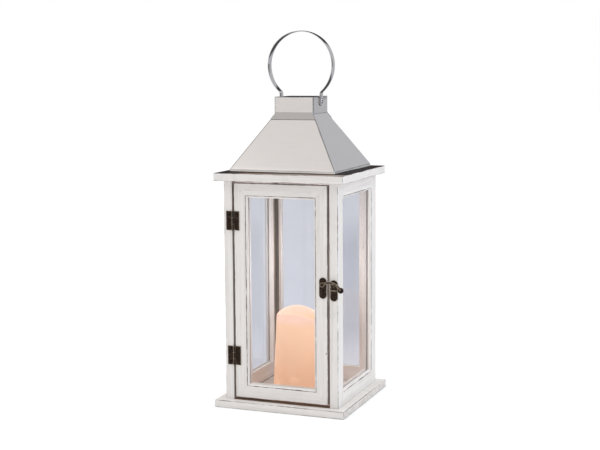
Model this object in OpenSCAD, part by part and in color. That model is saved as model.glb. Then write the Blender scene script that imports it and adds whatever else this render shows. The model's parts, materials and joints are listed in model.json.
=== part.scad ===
// Candle lantern: a square glazed wooden body with a hinged front door, a sheet-steel
// pyramid roof with a boxed neck, a swinging ring handle, and a battery candle inside.
// Millimetres. The origin is the centre of the underside, +Z is up, the door faces -Y.

/* [Body] */
// Side of the square base plate
base_w = 150; // [146:1:156]
// Thickness of the base plate
base_t = 8; // [6:0.5:12]
// Side of the square top plate
top_w = 147.5; // [144:0.5:154]
// Thickness of the top plate
top_t = 8.5; // [6:0.5:12]
// Side of the square glazed body
body_w = 131; // [128:1:134]
// Height of the glazed body between the two plates
body_h = 242; // [220:1:260]
// Diameter of the warm-air hole in the top plate
vent_d = 70; // [50:1:76]

/* [Frames] */
// Thickness of every frame member
frame_t = 9.5; // [9:0.5:11]
// Width of the side frames' upright members
side_stile_w = 18.5; // [16:0.5:22]
// Width of the back frame's upright members
back_stile_w = 7.5; // [6:0.5:10]
// Height of the side and back frames' cross members
rail_h = 17; // [14:0.5:20]
// Bevel around the outer edge of each window
bevel = 2; // [1:0.25:2.5]
// Thickness of the glass
glass_t = 2; // [1.5:0.5:3]
// Depth that the glass is let into the wood
glass_bite = 3; // [2:0.5:4]

/* [Door] */
// Width of all four door members
door_member_w = 15.5; // [13:0.5:18]
// Gap between the door and each upright beside it
door_gap = 2.3; // [2:0.1:3]
// Gap under the door
door_gap_low = 3; // [2:0.5:4]
// Gap over the door
door_gap_high = 2.5; // [2:0.5:4]
// How far the door opens, in degrees, drawn closed
door_open = 0; // [0:5:170]

/* [Hinges and latch] */
// Height of a hinge
hinge_h = 21; // [18:1:26]
// Width of a hinge from edge to edge
hinge_w = 15.4; // [14:0.2:16]
// Height of the lower hinge's middle over the door's lower edge
hinge_low_inset = 46.5; // [30:0.5:60]
// Depth of the upper hinge's middle under the door's upper edge
hinge_high_inset = 41; // [30:0.5:60]
// Height of the middle of the latch plate over the underside
latch_z = 138.4; // [110:0.1:160]
// Width of the latch plate and the keeper plate
latch_w = 8.4; // [7.5:0.1:8.6]
// Height of the latch plate and the keeper plate
latch_h = 22.8; // [20:0.1:26]

/* [Roof] */
// Width of the roof at its lower edge
roof_w = 121.8; // [118:0.2:124]
// Height of the upright lip around the roof
lip_h = 3; // [2:0.5:4]
// Height of the sloping part of the roof
slope_h = 58.8; // [50:0.2:66]
// Width of the neck on top of the roof
neck_w = 45.6; // [42:0.2:50]
// Height of the neck
neck_h = 18.9; // [16:0.1:22]
// Depth of the neck's front and back flanges down the slope
flange_h = 5.4; // [4:0.1:7]
// Thickness of the sheet steel
sheet_t = 0.8; // [0.6:0.1:1]

/* [Handle] */
// Outer radius of the ring
ring_r = 38.1; // [36:0.1:42]
// Thickness of the ring's strap
strap_t = 1.2; // [1:0.1:1.6]
// Width of the ring's strap
strap_w = 10; // [8:0.5:12]
// Height of the handle's rivets over the neck's lower edge
rivet_rise = 14.2; // [12:0.1:15]

/* [Candle] */
// Radius of the candle at its foot
candle_r = 33.5; // [32:0.5:36]
// Loss of radius for each millimetre of height
candle_taper = 0.0475; // [0.02:0.0025:0.06]
// Height of the trough that the melted rim follows, over the candle's foot
trough_h = 81.5; // [78:0.5:86]
// Direction that the melted rim is lowest in, in degrees from +X
melt_turn = 19; // [0:1:360]
// Lean of the melted rim, in degrees
melt_tilt = 13; // [4:0.5:14]
// Radius of the trough
melt_r = 50; // [45:1:90]
// Height of the dish inside the rim
dish_h = 68; // [66:0.5:69]
// Thickness of the candle's wall
candle_wall = 2.2; // [1.8:0.1:2.4]

/* [Hidden] */

$fn = 64;
wood = [0.89, 0.88, 0.86];
bronze = [0.24, 0.18, 0.14];
steel = [0.80, 0.80, 0.80];
wax = [0.98, 0.79, 0.64];
plastic = [0.90, 0.87, 0.82];
zinc = [0.72, 0.72, 0.70];

// Heights of the main levels over the underside
top_z = base_t + body_h;
roof_z = top_z + top_t;
slope_z = roof_z + lip_h;
neck_z = slope_z + slope_h;
neck_top = neck_z + neck_h;
body_mid = base_t + body_h / 2;

// The front face, the inner faces of the side frames, and the frames' windows
face_y = -body_w / 2;
inner_half = body_w / 2 - frame_t;
side_window = [body_w - 2 * side_stile_w, body_h - 2 * rail_h];
back_w = 2 * inner_half;
back_window = [back_w - 2 * back_stile_w, body_h - 2 * rail_h];
glass_play = 0.3;
glass_y = frame_t / 2;

// The door
door_w = 2 * (inner_half - door_gap);
door_low = base_t + door_gap_low;
door_high = top_z - door_gap_high;
door_h = door_high - door_low;
door_mid = (door_low + door_high) / 2;
door_window = [door_w - 2 * door_member_w, door_h - 2 * door_member_w];

// The hinges: the pin stands in front of the gap beside the door
leaf_t = 0.8;
barrel_r = 1.3;
pin_r = 0.6;
pin_play = 0.05;
hinge_x = -inner_half + 1;
hinge_y = face_y - barrel_r;
hinge_zs = [door_low + hinge_low_inset, door_high - hinge_high_inset];
knuckle_h = hinge_h / 3;
knuckle_play = 0.15;
pin_head_r = barrel_r - 0.2;
pin_head_h = 0.6;
barrel_play = 0.25;
leaf_w = hinge_w / 2;
hinge_nail_x = 4.7;
hinge_nail_z = 6.6;
nail_r = 0.5;
nail_head_r = 1.1;
nail_head_h = 0.5;
nail_l = 6;

// The latch: the hook's arm is an arc that drops over the keeper's peg
plate_y = face_y - leaf_t;
latch_x = 48.7;
keeper_x = 61.1;
keeper_z = latch_z - 2.2;
latch_nail_z = 8.6;
hook_t = 1.6;
hook_play = 0.1;
boss_h = 1.7;
boss_r = 2.2;
hook_y = plate_y - boss_h - hook_play - hook_t / 2;
hook_centre = [57, latch_z - 7.8];
hook_r = 14.4;
hook_w = 2.4;
hook_start = 125;
hook_end = 28;
pivot = [hook_centre[0] + hook_r * cos(hook_start), hook_centre[1] + hook_r * sin(hook_start)];
ball = [hook_centre[0] + hook_r * cos(hook_end), hook_centre[1] + hook_r * sin(hook_end)];
ball_r = 3.1;
eye_r = 2.5;
latch_rivet_r = 1;
latch_rivet_in = 4;
latch_rivet_head_r = 1.9;
latch_rivet_head_h = 0.9;
peg_r = 1.5;
peg_l = 4.9;
peg_crown = 0.4;
peg_play = 0.15;
peg_run = hook_r - hook_w / 2 - peg_r - peg_play;
peg_z = hook_centre[1] + sqrt(pow(peg_run, 2) - pow(keeper_x - hook_centre[0], 2));
catch_t = 1;
catch_w = 7.2;
catch_h = 4.6;
catch_d = 2.6;

// The roof: half the width of its outer surface at a height, and the sheet's width in plan
roof_half = roof_w / 2;
neck_half = neck_w / 2;
slope_run = (roof_half - neck_half) / slope_h;
function slope_half(z) = neck_half + (neck_z - z) * slope_run;
sheet_plan = sheet_t * sqrt(1 + pow(slope_run, 2));
neck_inner = neck_half - sheet_t;
roof_end_z = neck_z + sheet_t / slope_run;
flange_end_z = neck_z + sheet_plan / slope_run;
lip_inner_z = slope_z - (sheet_plan - sheet_t) / slope_run;
roof_flange_w = 13;
roof_screw_at = 52.5;

// The handle
pivot_z = neck_z + rivet_rise;
strap_gap = 0.15;
tab_x = neck_half + strap_gap + strap_t / 2;
ring_z = neck_top + 33.8;
tab_end_r = 0.55 * strap_w;
rivet_r = 1.5;
rivet_play = 0.08;
rivet_head_r = 3;
rivet_head_h = 1.6;
rivet_foot_r = 2.4;
rivet_foot_h = 1;

// Screws
screw_r = 1.5;
screw_head_r = 3;
pan_head_r = 2.6;
pan_head_h = 1.6;
screw_l = 20;
base_screw_x = body_w / 2 - frame_t / 2;
top_screw_x = 58.4;
corner_screw_y = 54;

// The candle stands in the middle of the base plate
foot_z = base_t;
foot_inset = 1.5;
foot_ledge = 4;
disc_t = foot_ledge - foot_inset;
disc_z = foot_z + foot_inset;
disc_r = candle_r - candle_wall - 0.1;
dish_z = foot_z + dish_h;
trough_z = foot_z + trough_h;
rim_rise = 16;
rim_t = 3.2;
flame_hole_r = 3;
flame_h = 14;
flame_r = 4.2;
flame_foot_r = 4.6;
tube_r = 15.5;
bay_r = 13.2;
cell_r = 5.25;
cell_l = 44.5;
pole_r = 1.9;
cell_ring = cell_r * 2 / sqrt(3);
contact_t = 0.5;
contact_r = 3.4;
spring_r = 3.2;
spring_tip_r = 2;
cell_z = disc_z + 4;
bay_top = cell_z + cell_l + contact_t;
tube_top = bay_top + 2;
board_w = 26;
board_d = 18;
board_t = 1.2;
board_z = tube_top;
board_screw_x = 9;
board_screw_r = 0.8;
board_screw_l = 1.8;
led_r = 2.5;
led_rim = 0.4;
led_l = 5;
led_crown = 2.2;
cover_r = 15.7;
cover_t = 1.4;
cover_well_r = 16;
cover_well_t = 1.5;
plug_r = bay_r - 0.1;
plug_h = 2;
lug_w = 14;
lug_r = plug_r + 1.1;
lug_t = 0.7;
lug_z = disc_z + cover_well_t + 0.7;
lug_play = 0.25;
cover_turn = 30;
coin_slot_l = 18;
switch_y = -23.2;
switch_travel = 3;
switch_l = 14;
switch_w = 6.8;
switch_h = 5;
knob_l = 5.4;
knob_w = 3.6;
knob_play = 0.2;

// The candle's outer radius at a height
function candle_at(z) = candle_r - candle_taper * (z - foot_z);

// ---------------------------------------------------------------- helpers

// A square frustum with its faces exact planes
module frustum(low_half, high_half, low_z, high_z) {
    side = [[-low_half, low_z], [low_half, low_z], [high_half, high_z], [-high_half, high_z]];
    intersection() {
        rotate([90, 0, 0]) linear_extrude(height = 4 * roof_w, center = true) polygon(side);
        rotate([90, 0, 90]) linear_extrude(height = 4 * roof_w, center = true) polygon(side);
    }
}

// A square box between two heights
module square_box(half, low_z, high_z) {
    translate([-half, -half, low_z]) cube([2 * half, 2 * half, high_z - low_z]);
}

// What a window takes out of its members: the bevelled edge and the pocket for the glass.
// A frame is drawn with its outer face at y = 0, facing -Y, and its middle at the origin.
module window_cut(size) {
    w = size[0];
    h = size[1];
    // The bevel's planes run on past the wood on both sides
    over = 1;
    wide = bevel + over;
    across = [[-w / 2 - wide, -over], [w / 2 + wide, -over],
              [w / 2 - over, wide], [-w / 2 + over, wide]];
    along = [[-h / 2 - wide, -over], [h / 2 + wide, -over],
             [h / 2 - over, wide], [-h / 2 + over, wide]];
    intersection() {
        linear_extrude(height = 2 * h, center = true) polygon(across);
        rotate([0, -90, 0]) linear_extrude(height = 2 * w, center = true) polygon(along);
    }
    pocket = [w + 2 * (glass_bite + glass_play), glass_t, h + 2 * glass_bite + glass_play];
    translate([-pocket[0] / 2, glass_y - glass_t / 2, -h / 2 - glass_bite]) cube(pocket);
}

// An upright member; end is -1 at the frame's left and 1 at its right
module stile(frame_w, frame_h, member_w, window, end) {
    color(wood) difference() {
        translate([end * (frame_w - member_w) / 2 - member_w / 2, 0, -frame_h / 2])
            cube([member_w, frame_t, frame_h]);
        window_cut(window);
    }
}

// A cross member between the uprights; end is -1 at the bottom and 1 at the top
module rail(length, frame_h, window, end) {
    color(wood) difference() {
        translate([-length / 2, 0, end * (frame_h - rail_h) / 2 - rail_h / 2])
            cube([length, frame_t, rail_h]);
        window_cut(window);
    }
}

module pane(window) {
    size = [window[0] + 2 * glass_bite, glass_t, window[1] + 2 * glass_bite];
    color([0.78, 0.82, 0.86, 0.35]) translate([-size[0] / 2, glass_y - glass_t / 2, -size[2] / 2])
        cube(size);
}

module at_left() translate([-body_w / 2, 0, body_mid]) rotate([0, 0, -90]) children();
module at_right() translate([body_w / 2, 0, body_mid]) rotate([0, 0, 90]) children();
module at_back() translate([0, body_w / 2, body_mid]) rotate([0, 0, 180]) children();

// Everything on the door turns about the hinge pins
module on_door() {
    translate([hinge_x, hinge_y, 0]) rotate([0, 0, -door_open]) translate([-hinge_x, -hinge_y, 0])
        children();
}
module at_door() on_door() translate([0, face_y, door_mid]) children();

// A cap that is part of a sphere, its flat side at z = 0
module dome(r, h) {
    ball_radius = (r * r + h * h) / (2 * h);
    intersection() {
        translate([0, 0, h - ball_radius]) sphere(ball_radius);
        cylinder(r = 2 * r, h = 2 * h);
    }
}

// A round-headed nail driven towards +Y, with its head on the plane y = plate_y
module front_nail(x, z) {
    translate([x, plate_y, z]) rotate([-90, 0, 0]) cylinder(r = nail_r, h = nail_l);
    translate([x, plate_y, z]) rotate([90, 0, 0]) dome(nail_head_r, nail_head_h);
}
module front_hole(x, z, r) {
    translate([x, face_y - 10, z]) rotate([-90, 0, 0]) cylinder(r = r, h = 20);
}

// A countersunk wood screw pointing up, its flat head at z = 0
module countersunk_screw() {
    cylinder(r1 = screw_head_r, r2 = screw_r, h = screw_head_r - screw_r);
    cylinder(r = screw_r, h = screw_l);
}
module countersunk_hole() {
    translate([0, 0, -1]) cylinder(r = screw_head_r, h = 1);
    cylinder(r1 = screw_head_r, r2 = screw_r, h = screw_head_r - screw_r);
    translate([0, 0, -1]) cylinder(r = screw_r, h = screw_l + 2);
}

base_screw_spots = [
    [-base_screw_x, -corner_screw_y], [base_screw_x, -corner_screw_y],
    [-base_screw_x, corner_screw_y], [base_screw_x, corner_screw_y],
    [0, base_screw_x]
];
top_screw_spots = [for (x = [-1, 1], y = [-1, 1]) [x * top_screw_x, y * corner_screw_y]];
roof_screw_spots = [for (a = [0:90:270]) [roof_screw_at * cos(a), roof_screw_at * sin(a)]];

// ---------------------------------------------------------------- wooden body

module base_plate() {
    color(wood) difference() {
        translate([-base_w / 2, -base_w / 2, 0]) cube([base_w, base_w, base_t]);
        for (p = base_screw_spots) translate([p[0], p[1], 0]) countersunk_hole();
    }
}

module top_plate() {
    color(wood) difference() {
        translate([-top_w / 2, -top_w / 2, top_z]) cube([top_w, top_w, top_t]);
        translate([0, 0, top_z - 1]) cylinder(d = vent_d, h = top_t + 2);
        for (p = top_screw_spots) translate([p[0], p[1], roof_z]) mirror([0, 0, 1])
            countersunk_hole();
        for (p = roof_screw_spots) translate([p[0], p[1], top_z - 1])
            cylinder(r = screw_r, h = top_t + 2);
    }
}

module side_stile(end) stile(body_w, body_h, side_stile_w, side_window, end);
module side_rail(end) rail(side_window[0], body_h, side_window, end);
module back_stile(end) stile(back_w, body_h, back_stile_w, back_window, end);
module back_rail(end) rail(back_window[0], body_h, back_window, end);

module left_front_stile() at_left() side_stile(1);
module left_back_stile() at_left() side_stile(-1);
module left_top_rail() at_left() side_rail(1);
module left_bottom_rail() at_left() side_rail(-1);
module right_front_stile() at_right() side_stile(-1);
module right_back_stile() at_right() side_stile(1);
module right_top_rail() at_right() side_rail(1);
module right_bottom_rail() at_right() side_rail(-1);
module back_left_stile() at_back() back_stile(1);
module back_right_stile() at_back() back_stile(-1);
module back_top_rail() at_back() back_rail(1);
module back_bottom_rail() at_back() back_rail(-1);
module left_glass() at_left() pane(side_window);
module right_glass() at_right() pane(side_window);
module back_glass() at_back() pane(back_window);

module base_screws() {
    color(zinc) for (p = base_screw_spots) translate([p[0], p[1], 0]) countersunk_screw();
}

module top_screws() {
    color(zinc) for (p = top_screw_spots) translate([p[0], p[1], roof_z]) mirror([0, 0, 1])
        countersunk_screw();
}

// ---------------------------------------------------------------- roof and handle

module roof_shell() {
    cut_z = roof_end_z + 1;
    color(steel) difference() {
        union() {
            square_box(roof_half, roof_z, slope_z);
            frustum(roof_half, neck_inner, slope_z, roof_end_z);
        }
        square_box(roof_half - roof_flange_w, roof_z - 1, roof_z + 2 * sheet_t);
        square_box(roof_half - sheet_t, roof_z + sheet_t, lip_inner_z);
        frustum(roof_half - sheet_t, slope_half(cut_z) - sheet_plan, lip_inner_z, cut_z);
        for (p = roof_screw_spots) translate([p[0], p[1], roof_z - 1])
            cylinder(r = screw_r, h = 2 + sheet_t);
    }
}

// Pan-headed screws from inside the lantern up into the roof's turned-in flange
module roof_screws() {
    color(zinc) for (p = roof_screw_spots) translate([p[0], p[1], top_z]) {
        mirror([0, 0, 1]) dome(pan_head_r, pan_head_h);
        cylinder(r = screw_r, h = top_t + sheet_t + 2);
    }
}

// The neck is one folded piece: four walls, a closed top, and a flange down the front
// and back slopes that stops at the hips
module neck() {
    low_z = neck_z - flange_h;
    low_half = slope_half(low_z);
    end_half = slope_half(flange_end_z);
    flange_side = [[-low_half - sheet_plan, low_z], [low_half + sheet_plan, low_z],
                   [neck_half, flange_end_z], [-neck_half, flange_end_z]];
    flange_front = [[-low_half, low_z], [low_half, low_z],
                    [end_half, flange_end_z], [-end_half, flange_end_z]];
    color(steel) difference() {
        union() {
            square_box(neck_half, neck_z - 1, neck_top);
            intersection() {
                rotate([90, 0, 90]) linear_extrude(height = 2 * roof_w, center = true) polygon(flange_side);
                rotate([90, 0, 0]) linear_extrude(height = 2 * roof_w, center = true) polygon(flange_front);
            }
        }
        frustum(slope_half(low_z - 5), neck_inner, low_z - 5, roof_end_z);
        square_box(neck_inner, roof_end_z - 0.5, neck_top - sheet_t);
        translate([-neck_w, 0, pivot_z]) rotate([0, 90, 0]) cylinder(r = rivet_r, h = 2 * neck_w);
    }
}

module handle_rivets() {
    head_x = tab_x + strap_t / 2 + 0.1;
    color(steel) for (s = [0, 1]) mirror([s, 0, 0]) translate([0, 0, pivot_z]) rotate([0, 90, 0]) {
        translate([0, 0, neck_inner - rivet_foot_h]) cylinder(r = rivet_foot_r, h = rivet_foot_h);
        translate([0, 0, neck_inner]) cylinder(r = rivet_r, h = head_x - neck_inner);
        translate([0, 0, head_x]) dome(rivet_head_r, rivet_head_h);
    }
}

// A circle standing on two upright legs, whose lower end lies drop under the pivot
module ring_on_legs(r, leg_x, drop) {
    translate([0, ring_z]) circle(r = r);
    translate([-leg_x, pivot_z - drop]) square([2 * leg_x, ring_z - pivot_z + drop]);
}

// The strap lies between two such outlines; its two ends are rounded under the rivets
module handle_strap() {
    color(steel) difference() {
        intersection() {
            rotate([90, 0, 0]) linear_extrude(height = strap_w, center = true) difference() {
                ring_on_legs(ring_r, tab_x + strap_t / 2, strap_w);
                ring_on_legs(ring_r - strap_t, tab_x - strap_t / 2, 2 * strap_w);
            }
            rotate([90, 0, 90]) linear_extrude(height = 4 * ring_r, center = true) {
                translate([0, pivot_z]) circle(r = tab_end_r);
                translate([-strap_w, pivot_z]) square([2 * strap_w, 3 * ring_r]);
            }
        }
        translate([-neck_w, 0, pivot_z]) rotate([0, 90, 0])
            cylinder(r = rivet_r + rivet_play, h = 2 * neck_w);
    }
}

// ---------------------------------------------------------------- hinges

// The space around knuckle k's lower end, from just under it
module knuckle_room(k, height) {
    half = barrel_r + barrel_play;
    translate([-half, -2 * barrel_r, k * knuckle_h - knuckle_play / 2])
        cube([2 * half, 4 * barrel_r, height]);
}

// A flat leaf with its knuckles; side is -1 on the post and 1 on the door.
// thirds lists this leaf's knuckles and others lists the other leaf's, counted upwards.
module hinge_leaf(z, side, thirds, others, bore_r) {
    color(bronze) translate([hinge_x, hinge_y, z - hinge_h / 2]) difference() {
        union() {
            translate([side > 0 ? 0 : -leaf_w, barrel_r - leaf_t, 0]) cube([leaf_w, leaf_t, hinge_h]);
            for (k = thirds) translate([0, 0, k * knuckle_h + knuckle_play / 2])
                cylinder(r = barrel_r, h = knuckle_h - knuckle_play);
        }
        // Room for the other leaf's knuckles
        for (k = others) knuckle_room(k, knuckle_h + knuckle_play);
        // The leaf's own thirds stop at their knuckle's ends
        for (k = [0, 1, 2]) knuckle_room(k, knuckle_play);
        translate([0, 0, -1]) cylinder(r = bore_r, h = hinge_h + 2);
        for (dz = [-hinge_nail_z, hinge_nail_z])
            translate([side * hinge_nail_x, hinge_h / 2, hinge_h / 2 + dz]) rotate([90, 0, 0])
                cylinder(r = nail_r, h = hinge_h);
    }
}
module post_leaf(z) hinge_leaf(z, -1, [0, 2], [1], pin_r);
module door_leaf(z) on_door() hinge_leaf(z, 1, [1], [0, 2], pin_r + pin_play);
module hinge_pin(z) {
    color(bronze) translate([hinge_x, hinge_y, z - hinge_h / 2]) {
        cylinder(r = pin_r, h = hinge_h);
        translate([0, 0, hinge_h - knuckle_play / 2]) dome(pin_head_r, pin_head_h);
        translate([0, 0, knuckle_play / 2]) mirror([0, 0, 1]) dome(pin_head_r, pin_head_h);
    }
}
module hinge_nails(side) {
    color(bronze) for (z = hinge_zs, dz = [-hinge_nail_z, hinge_nail_z])
        front_nail(hinge_x + side * hinge_nail_x, z + dz);
}

module lower_hinge_post_leaf() post_leaf(hinge_zs[0]);
module upper_hinge_post_leaf() post_leaf(hinge_zs[1]);
module lower_hinge_door_leaf() door_leaf(hinge_zs[0]);
module upper_hinge_door_leaf() door_leaf(hinge_zs[1]);
module lower_hinge_pin() hinge_pin(hinge_zs[0]);
module upper_hinge_pin() hinge_pin(hinge_zs[1]);
module post_hinge_nails() hinge_nails(-1);
module door_hinge_nails() on_door() hinge_nails(1);

// ---------------------------------------------------------------- latch

// A plate with round ends, standing on the front face
module oval_plate(x, z) {
    run = latch_h / 2 - latch_w / 2;
    translate([x, face_y, z]) rotate([90, 0, 0]) linear_extrude(height = leaf_t) union() {
        square([latch_w, 2 * run], center = true);
        for (s = [-run, run]) translate([0, s]) circle(d = latch_w);
    }
}

module keeper_plate() {
    color(bronze) difference() {
        union() {
            oval_plate(keeper_x, keeper_z);
            // The turned-up catch under and beside the peg
            translate([keeper_x - catch_w / 2, plate_y - catch_d, keeper_z]) cube([catch_w, catch_d, catch_t]);
            translate([keeper_x - catch_w / 2, plate_y - boss_h, keeper_z]) cube([catch_t, boss_h, catch_h]);
        }
        front_hole(keeper_x, peg_z, peg_r);
        for (s = [-1, 1]) front_hole(keeper_x, keeper_z + s * latch_nail_z, nail_r);
    }
}
module keeper_peg() {
    color(bronze) translate([keeper_x, face_y, peg_z]) rotate([90, 0, 0]) {
        cylinder(r = peg_r, h = leaf_t + peg_l);
        translate([0, 0, leaf_t + peg_l]) dome(peg_r, peg_crown);
    }
}
module keeper_nails() {
    color(bronze) for (s = [-1, 1]) front_nail(keeper_x, keeper_z + s * latch_nail_z);
}

module latch_plate() {
    color(bronze) on_door() difference() {
        union() {
            oval_plate(latch_x, latch_z);
            translate([pivot[0], plate_y, pivot[1]]) rotate([90, 0, 0]) cylinder(r = boss_r, h = boss_h);
        }
        front_hole(pivot[0], pivot[1], latch_rivet_r);
        for (s = [-1, 1]) front_hole(latch_x, latch_z + s * latch_nail_z, nail_r);
    }
}
module latch_nails() {
    color(bronze) on_door() for (s = [-1, 1]) front_nail(latch_x, latch_z + s * latch_nail_z);
}
module latch_rivet() {
    head_y = hook_y - hook_t / 2 - hook_play;
    color(bronze) on_door() translate([pivot[0], head_y, pivot[1]]) {
        rotate([-90, 0, 0]) cylinder(r = latch_rivet_r, h = face_y + latch_rivet_in - head_y);
        rotate([90, 0, 0]) dome(latch_rivet_head_r, latch_rivet_head_h);
    }
}
module latch_hook() {
    color(bronze) on_door() difference() {
        union() {
            translate([hook_centre[0], hook_y, hook_centre[1]]) rotate([90, 0, 0]) rotate([0, 0, hook_end])
                rotate_extrude(angle = hook_start - hook_end)
                translate([hook_r - hook_w / 2, -hook_t / 2]) square([hook_w, hook_t]);
            translate([pivot[0], hook_y, pivot[1]]) rotate([90, 0, 0])
                cylinder(r = eye_r, h = hook_t, center = true);
            translate([ball[0], hook_y, ball[1]]) sphere(ball_r);
        }
        front_hole(pivot[0], pivot[1], latch_rivet_r + pin_play);
    }
}

// ---------------------------------------------------------------- door

// Door members are mitred at the corners
module door_member(end, upright) {
    run = upright ? door_h / 2 : door_w / 2;
    out = upright ? door_w / 2 : door_h / 2;
    inn = out - door_member_w;
    plan = [[-run, out], [run, out], [run - door_member_w, inn], [-run + door_member_w, inn]];
    turned = upright ? [for (p = plan) [end * p[1], p[0]]] : [for (p = plan) [p[0], end * p[1]]];
    color(wood) at_door() difference() {
        translate([0, frame_t, 0]) rotate([90, 0, 0]) linear_extrude(height = frame_t) polygon(turned);
        window_cut(door_window);
    }
}
module door_hinge_stile() door_member(-1, true);
module door_latch_stile() door_member(1, true);
module door_top_rail() door_member(1, false);
module door_bottom_rail() door_member(-1, false);
module door_glass() at_door() pane(door_window);

// ---------------------------------------------------------------- candle

// Everything above the melted rim: a wide round trough that leans towards its low end
module rim_trim() {
    translate([0, 0, trough_z]) rotate([0, 0, melt_turn]) rotate([0, 90 + melt_tilt, 0])
        translate([-melt_r, 0, 0]) cylinder(r = melt_r, h = 6 * candle_r, center = true);
}

// The shell tapers upwards, is open underneath and has a dish inside its melted rim
module candle_shell() {
    high = trough_z + rim_rise;
    inner_top = dish_z - candle_wall;
    wall = [
        [candle_r, foot_z], [candle_at(high), high], [candle_at(high) - rim_t, high],
        [candle_at(dish_z) - rim_t, dish_z], [flame_hole_r, dish_z], [flame_hole_r, inner_top],
        [candle_at(inner_top) - candle_wall - 1, inner_top],
        [candle_at(foot_z + foot_ledge) - candle_wall - 1, foot_z + foot_ledge],
        [candle_r - candle_wall, foot_z + foot_ledge], [candle_r - candle_wall, foot_z]
    ];
    color(wax) difference() {
        rotate_extrude($fn = 96) polygon(wall);
        rim_trim();
    }
}

// A small flame-shaped lamp cover standing in the dish on a round flange
module flame_tip() {
    stem_z = dish_z - 4;
    stem_r = flame_hole_r - 0.2;
    steps = 12;
    // Fullest a third of the way up, drawn in to a point at the tip
    swell = [for (i = [1:steps - 1]) let (t = i / steps)
        [flame_r * sin(180 * pow(1 - t, 0.72)) * (1 - 0.15 * t) + 0.15,
         dish_z + 1 + (flame_h - 1) * t]];
    foot = [[0, stem_z], [stem_r, stem_z], [stem_r, dish_z],
            [flame_foot_r, dish_z], [flame_foot_r, dish_z + 1]];
    color([1, 0.86, 0.6]) rotate_extrude($fn = 48)
        polygon(concat(foot, swell, [[0, dish_z + flame_h]]));
}

module candle_base() {
    color(plastic) difference() {
        union() {
            translate([0, 0, disc_z]) cylinder(r = disc_r, h = disc_t);
            translate([0, 0, disc_z]) cylinder(r = tube_r, h = tube_top - disc_z);
        }
        translate([0, 0, disc_z - 1]) cylinder(r = cover_well_r, h = 1 + cover_well_t);
        translate([0, 0, disc_z - 1]) cylinder(r = bay_r, h = bay_top - disc_z + 1);
        // Two upright entries and two turning slots for the cover's lugs
        for (a = [0, 180]) rotate([0, 0, a]) {
            rotate([0, 0, -cover_turn]) translate([0, -lug_w / 4, disc_z - 1])
                cube([lug_r + lug_play, lug_w / 2, lug_z - disc_z + 2]);
            translate([0, 0, lug_z - lug_play]) rotate([0, 0, -cover_turn - 22])
                rotate_extrude(angle = cover_turn + 44)
                translate([bay_r - 1, 0]) square([lug_r + lug_play - bay_r + 1, lug_t + 2 * lug_play]);
        }
        for (s = [-1, 1]) translate([s * board_screw_x, 0, tube_top - board_screw_l])
            cylinder(r = board_screw_r, h = 2 * board_screw_l);
        // The slot that the switch knob slides in
        translate([-(knob_l + switch_travel) / 2 - knob_play, switch_y - knob_w / 2 - knob_play, disc_z - 1])
            cube([knob_l + switch_travel + 2 * knob_play, knob_w + 2 * knob_play, disc_t + 2]);
    }
}

module circuit_board() {
    color([0.10, 0.38, 0.20]) difference() {
        translate([-board_w / 2, -board_d / 2, board_z]) cube([board_w, board_d, board_t]);
        for (s = [-1, 1]) translate([s * board_screw_x, 0, board_z - 1])
            cylinder(r = board_screw_r, h = board_t + 2);
    }
}
module candle_led() {
    color([1, 0.9, 0.7]) translate([0, 0, board_z + board_t]) {
        cylinder(r = led_r + led_rim, h = 1);
        cylinder(r = led_r, h = led_l);
        translate([0, 0, led_l]) dome(led_r, led_crown);
    }
}
module board_screws() {
    color(zinc) for (s = [-1, 1]) translate([s * board_screw_x, 0, board_z + board_t]) {
        mirror([0, 0, 1]) cylinder(r = board_screw_r, h = board_t + board_screw_l);
        dome(2 * board_screw_r, 1);
    }
}

// Three cells side by side, each with its small pole
module battery_cells() {
    color([0.18, 0.20, 0.24]) for (k = [0:2]) rotate([0, 0, 90 + 120 * k]) translate([cell_ring, 0, cell_z]) {
        cylinder(r = cell_r - 0.1, h = cell_l - 1);
        cylinder(r = pole_r, h = cell_l);
    }
}
module upper_contacts() {
    color(zinc) for (k = [0:2]) rotate([0, 0, 90 + 120 * k])
        translate([cell_ring, 0, cell_z + cell_l]) cylinder(r = contact_r, h = contact_t);
}

module switch_body() {
    l = knob_l + switch_travel + 2 * knob_play;
    color([0.15, 0.15, 0.16]) difference() {
        translate([-switch_l / 2, switch_y - switch_w / 2, disc_z + disc_t]) cube([switch_l, switch_w, switch_h]);
        translate([-l / 2, switch_y - knob_w / 2 - knob_play, disc_z + disc_t - 1])
            cube([l, knob_w + 2 * knob_play, 3]);
    }
}
module switch_slider() {
    color([0.12, 0.12, 0.13]) difference() {
        translate([-(knob_l + switch_travel) / 2, switch_y - knob_w / 2, disc_z - 0.5])
            cube([knob_l, knob_w, disc_t + 0.5 + 1.6]);
        for (k = [-1, 0, 1])
            translate([-switch_travel / 2 + k * 1.3 - 0.25, switch_y - knob_w, disc_z - 1])
            cube([0.5, 2 * knob_w, 0.9]);
    }
}

// The cover turns on its plug; its two lugs run in the tube's slots
module battery_cover() {
    color(plastic) difference() {
        union() {
            translate([0, 0, disc_z]) cylinder(r = cover_r, h = cover_t);
            translate([0, 0, disc_z]) cylinder(r = plug_r, h = cover_t + plug_h);
            intersection() {
                translate([-lug_r, -lug_w / 4 + 0.4, lug_z]) cube([2 * lug_r, lug_w / 2 - 0.8, lug_t]);
                translate([0, 0, lug_z]) cylinder(r = lug_r, h = lug_t);
            }
        }
        // The slot for a coin
        translate([-coin_slot_l / 2, -1, disc_z - 1]) cube([coin_slot_l, 2, 1.8]);
    }
}
module cover_contacts() {
    z = disc_z + cover_t + plug_h;
    color(zinc) for (k = [0:2]) rotate([0, 0, 90 + 120 * k])
        translate([cell_ring, 0, z]) cylinder(r1 = spring_r, r2 = spring_tip_r, h = cell_z - z - 0.1);
}

// ---------------------------------------------------------------- output

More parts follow.
